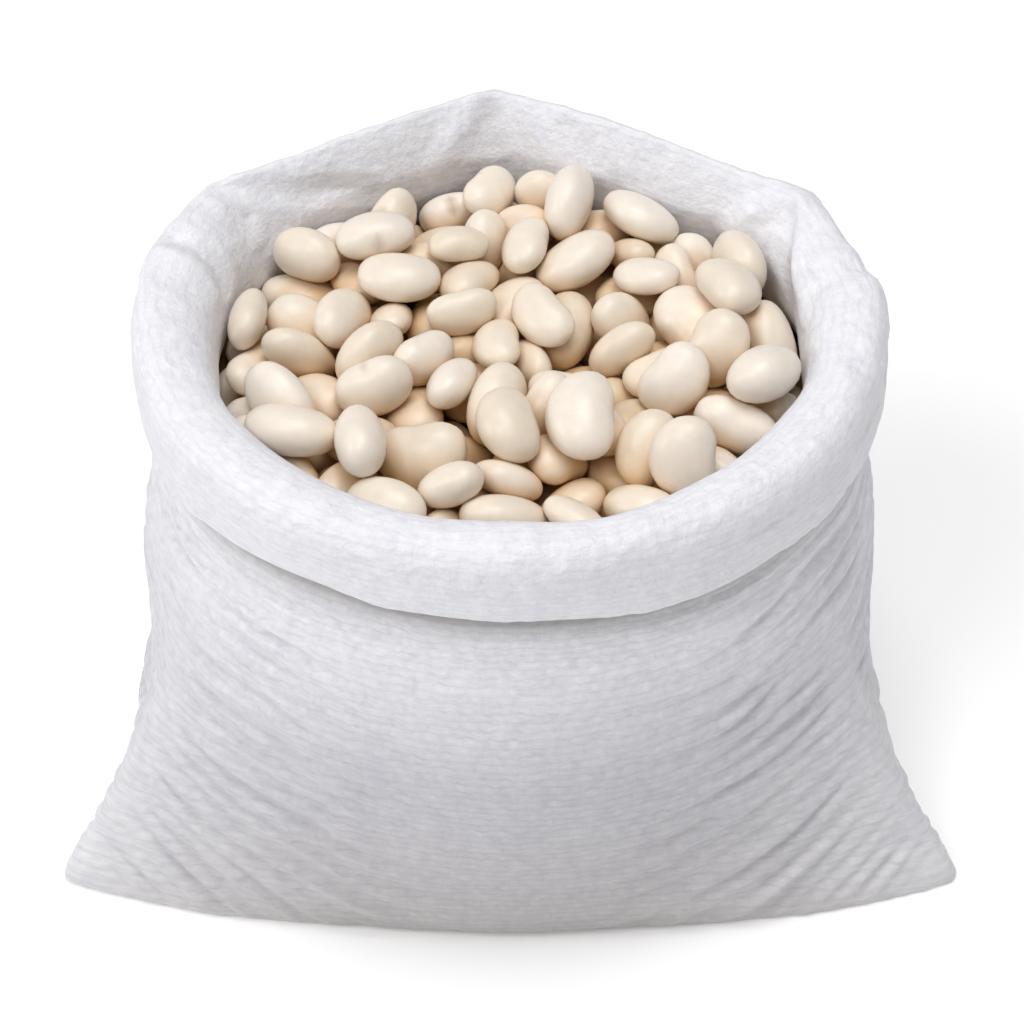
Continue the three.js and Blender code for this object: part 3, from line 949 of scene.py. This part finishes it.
from_middle = add_node(cloth, "ShaderNodeMath", {0: here.outputs[0]}, operation="ABSOLUTE")
foot_shade_share = add_node(cloth, "ShaderNodeMapRange", {
    "Value": from_middle.outputs[0], "From Min": SHADE_MIDDLE[0] * MM, "From Max": SHADE_MIDDLE[1] * MM,
    "To Min": 1.0, "To Max": 0.35})
foot_shaded = add_node(cloth, "ShaderNodeMix", {0: foot_shade_share.outputs[0], 6: white, 7: foot_ramp.outputs[0]},
                 data_type="RGBA", blend_type="MULTIPLY")
# painted shade: the crease behind the hem is darkened by multiplying its white with a grey brown
hem_shade_mark = add_node(cloth, "ShaderNodeAttribute", attribute_name="hem_shade")
shaded = add_node(cloth, "ShaderNodeMix", {0: hem_shade_mark.outputs["Fac"], 6: foot_shaded.outputs[2],
                                           7: linear("ABA29B")},
                  data_type="RGBA", blend_type="MULTIPLY")
feed(cloth, cloth_skin, {"Base Color": shaded.outputs[2]})

# %% [markdown]
# Polypropylene film is a satin plastic: fairly rough, with a soft sheen where the tapes turn
# over a fold. Three bumps lie over each other: the crinkle, which is strongest on the cuff, the
# faces of the tapes, and the weave itself, which shows less where the cloth is pulled tight.
# The tape faces stand 0.42 mm high, more than in a real weave, to be seen at this distance.

# %% Surface of the cloth
CRINKLE_DEPTH = 0.5
TAPE_DEPTH = 0.42
WEAVE_DEPTH = 0.1
SATIN = (0.48, 0.66)

roughness = add_node(cloth, "ShaderNodeMapRange", {"Value": worn, "To Min": SATIN[0], "To Max": SATIN[1]})
crinkle_share = add_node(cloth, "ShaderNodeMapRange", {"Value": rolled, "To Min": 0.26, "To Max": 0.9})
weave_share = add_node(cloth, "ShaderNodeMapRange", {"Value": rolled, "To Min": 0.75, "To Max": 0.22})
bump = add_node(cloth, "ShaderNodeBump", {"Height": crinkle, "Distance": CRINKLE_DEPTH * MM,
                                          "Strength": crinkle_share.outputs[0]})
for relief_height, depth_mm in ((tape_face, TAPE_DEPTH), (weave, WEAVE_DEPTH)):
    bump = add_node(cloth, "ShaderNodeBump", {"Height": relief_height, "Distance": depth_mm * MM,
                                              "Strength": weave_share.outputs[0],
                                              "Normal": bump.outputs[0]})
feed(cloth, cloth_skin, {"Roughness": roughness.outputs[0], "IOR": 1.49, "Sheen Weight": 0.15,
                         "Sheen Roughness": 0.4, "Normal": bump.outputs[0]})
sack.data.materials.append(cloth)
print("cloth has", len(cloth.node_tree.nodes), "nodes")

# %% [markdown]
# A dried white bean has a thin hard skin, smooth as an eggshell, over a starchy inside that lets
# a little light in. Its cream differs from bean to bean and is mottled in spots of about 3 mm.
# The eye is brown, and deep in the heap the light and so the cream turn warmer.

# %% Cream of the beans
SPOT_SIZE = 3.03

skin, skin_face = new_material("dried_bean_skin")
tone_mark = add_node(skin, "ShaderNodeAttribute", attribute_name="tone").outputs["Fac"]
eye_mark = add_node(skin, "ShaderNodeAttribute", attribute_name="eye").outputs["Fac"]
depth_mark = add_node(skin, "ShaderNodeAttribute", attribute_name="depth").outputs["Fac"]
skin_place = add_node(skin, "ShaderNodeTexCoord").outputs["Object"]

cream = add_node(skin, "ShaderNodeValToRGB", {"Fac": tone_mark})
cream.color_ramp.elements.new(0.5)
for element, colour in zip(cream.color_ramp.elements, ("ECDECA", "F1E5D5", "F6ECE0")):
    element.color = linear(colour)
spots = add_node(skin, "ShaderNodeTexNoise", {"Vector": skin_place, "Scale": 1 / (SPOT_SIZE * MM),
                                              "Detail": 3.0})
spot_tone = add_node(skin, "ShaderNodeMapRange", {"Value": spots.outputs[0], "From Min": 0.3,
                                                  "From Max": 0.7, "To Min": 0.88, "To Max": 1.04})
mottled = add_node(skin, "ShaderNodeMix", {0: 0.35, 6: cream.outputs[0], 7: spot_tone.outputs[0]},
                   data_type="RGBA", blend_type="MULTIPLY")
eye_share = add_node(skin, "ShaderNodeMapRange", {"Value": eye_mark, "From Min": 0.45, "From Max": 0.9,
                                                  "To Max": 0.7})
eyed = add_node(skin, "ShaderNodeMix", {0: eye_share.outputs[0], 6: mottled.outputs[2],
                                        7: linear("9C7B55")}, data_type="RGBA")
deep_share = add_node(skin, "ShaderNodeMapRange", {"Value": depth_mark, "From Min": 0.5, "From Max": 9.0,
                                                   "To Max": 0.8})
warmed = add_node(skin, "ShaderNodeMix", {0: deep_share.outputs[0], 6: eyed.outputs[2],
                                          7: linear("EACB9B")}, data_type="RGBA", blend_type="MULTIPLY")

# %% [markdown]
# The skin shines softly. A little subsurface light, a millimetre or two deep and reaching
# farthest in red, takes the chalkiness away, and fine bumps of about 1.4 mm break the shine.

# %% Skin of the beans
PORE_SIZE = 1.429
PORE_DEPTH = 0.06

pores = add_node(skin, "ShaderNodeTexNoise", {"Vector": skin_place, "Scale": 1 / (PORE_SIZE * MM),
                                              "Detail": 2.0})
skin_bump = add_node(skin, "ShaderNodeBump", {"Height": pores.outputs[0], "Distance": PORE_DEPTH * MM,
                                              "Strength": 0.5})
feed(skin, skin_face, {"Base Color": warmed.outputs[2], "Roughness": 0.34, "IOR": 1.45,
                       "Subsurface Weight": 0.15, "Subsurface Radius": (2.2, 1.3, 0.6),
                       "Subsurface Scale": MM, "Normal": skin_bump.outputs[0]})
beans.data.materials.append(skin)
print("bean skin has", len(skin.node_tree.nodes), "nodes")

# %% [markdown]
# Only narrow gaps of the mound can be seen. It gets the brown that the eye expects between
# beans, where light has bounced off many of them, broken up in grains of about a millimetre.
# Without a place given, the noise is spread over the mound's own width.

# %% Shade between the beans
MOUND_WIDTH = 132
SHADE_GRAIN = 1.1

shade_material, shade_face = new_material("bean_shade")
shade_noise = add_node(shade_material, "ShaderNodeTexNoise", {"Scale": MOUND_WIDTH / SHADE_GRAIN,
                                                              "Detail": 2.0})
shade_ramp = add_node(shade_material, "ShaderNodeValToRGB", {"Fac": shade_noise.outputs[0]})
for element, colour in zip(shade_ramp.color_ramp.elements, ("6B4C2C", "94703F")):
    element.color = linear(colour)
feed(shade_material, shade_face, {"Base Color": shade_ramp.outputs[0], "Roughness": 0.8})
mound.data.materials.append(shade_material)

# %% [markdown]
# The stage is a white studio. The floor is nearly white, and a faint glow of its own lifts it to
# the pure white of a shop photograph but keeps a soft shadow under the sack.

# %% Floor
FLOOR_SIZE = 6
FLOOR_CLOUD = 2

bpy.ops.mesh.primitive_plane_add(size=FLOOR_SIZE)
floor = bpy.context.object
floor.name = "floor"
floor_material, floor_face = new_material("white_floor")
floor_noise = add_node(floor_material, "ShaderNodeTexNoise", {"Scale": FLOOR_SIZE / FLOOR_CLOUD})
floor_ramp = add_node(floor_material, "ShaderNodeValToRGB", {"Fac": floor_noise.outputs[0]})
for element, colour in zip(floor_ramp.color_ramp.elements, ("FAFAFA", "FCFCFC")):
    element.color = linear(colour)
feed(floor_material, floor_face, {"Base Color": floor_ramp.outputs[0], "Roughness": 0.9,
                                  "Emission Color": (1, 1, 1, 1), "Emission Strength": 0.14})
floor.data.materials.append(floor_material)

# %% [markdown]
# Four round soft lights and a pale surround light the sack. The key comes from the front left
# and gives the folds their shape. The largest hangs overhead and fills the mouth, a third lifts
# the front of the cuff, and a low one at the far left brightens that side of the body.

# %% Light
AIM = (0, 0, 0.08)
LIGHTS = (
    ("key_light", (-1.0, -1.1, 2.1), 0.9, 13.5),
    ("top_light", (0.1, 0.2, 2.5), 1.4, 27),
    ("front_light", (0.0, -0.75, 2.35), 1.4, 9),
    ("left_light", (-2.4, -0.5, 1.0), 1.0, 14),
)

for name, place, size, watts in LIGHTS:
    lamp = bpy.data.lights.new(name, "AREA")
    lamp.shape = "DISK"
    lamp.size = size
    lamp.energy = watts
    lamp_object = bpy.data.objects.new(name, lamp)
    lamp_object.location = place
    lamp_object.rotation_euler = (Vector(AIM) - Vector(place)).to_track_quat("-Z", "Y").to_euler()
    scene.collection.objects.link(lamp_object)

surround = bpy.data.worlds.new("surround")
scene.world = surround
surround.use_nodes = True
surround.node_tree.nodes["Background"].inputs["Color"].default_value = (1, 1, 1, 1)
surround.node_tree.nodes["Background"].inputs["Strength"].default_value = 0.23
scene.view_settings.view_transform = "Standard"
print(len(LIGHTS), "lights,", sum(watts for *_, watts in LIGHTS), "watts in all")

# %% [markdown]
# The camera looks down at 45 degrees through a long lens from 75 cm, as in a shop photograph,
# and aims near the middle of the sack.

# %% Camera
ELEVATION = math.radians(45)
DISTANCE = 0.75
LENS = 113.65
SENSOR = 36
MIDDLE = Vector((0.00046, 0, 0.062))
LIFT = 0.00232  # moves the aim up in the picture

back_way = Vector((0, -math.cos(ELEVATION), math.sin(ELEVATION)))
aim = MIDDLE + Vector((0, math.sin(ELEVATION), math.cos(ELEVATION))) * LIFT
camera_data = bpy.data.cameras.new("camera")
camera_data.lens = LENS
camera_data.sensor_width = SENSOR
camera = bpy.data.objects.new("camera", camera_data)
camera.location = aim + back_way * DISTANCE
camera.rotation_euler = (-back_way).to_track_quat("-Z", "Y").to_euler()
scene.collection.objects.link(camera)
scene.camera = camera
print("camera at", tuple(round(v, 3) for v in camera.location))
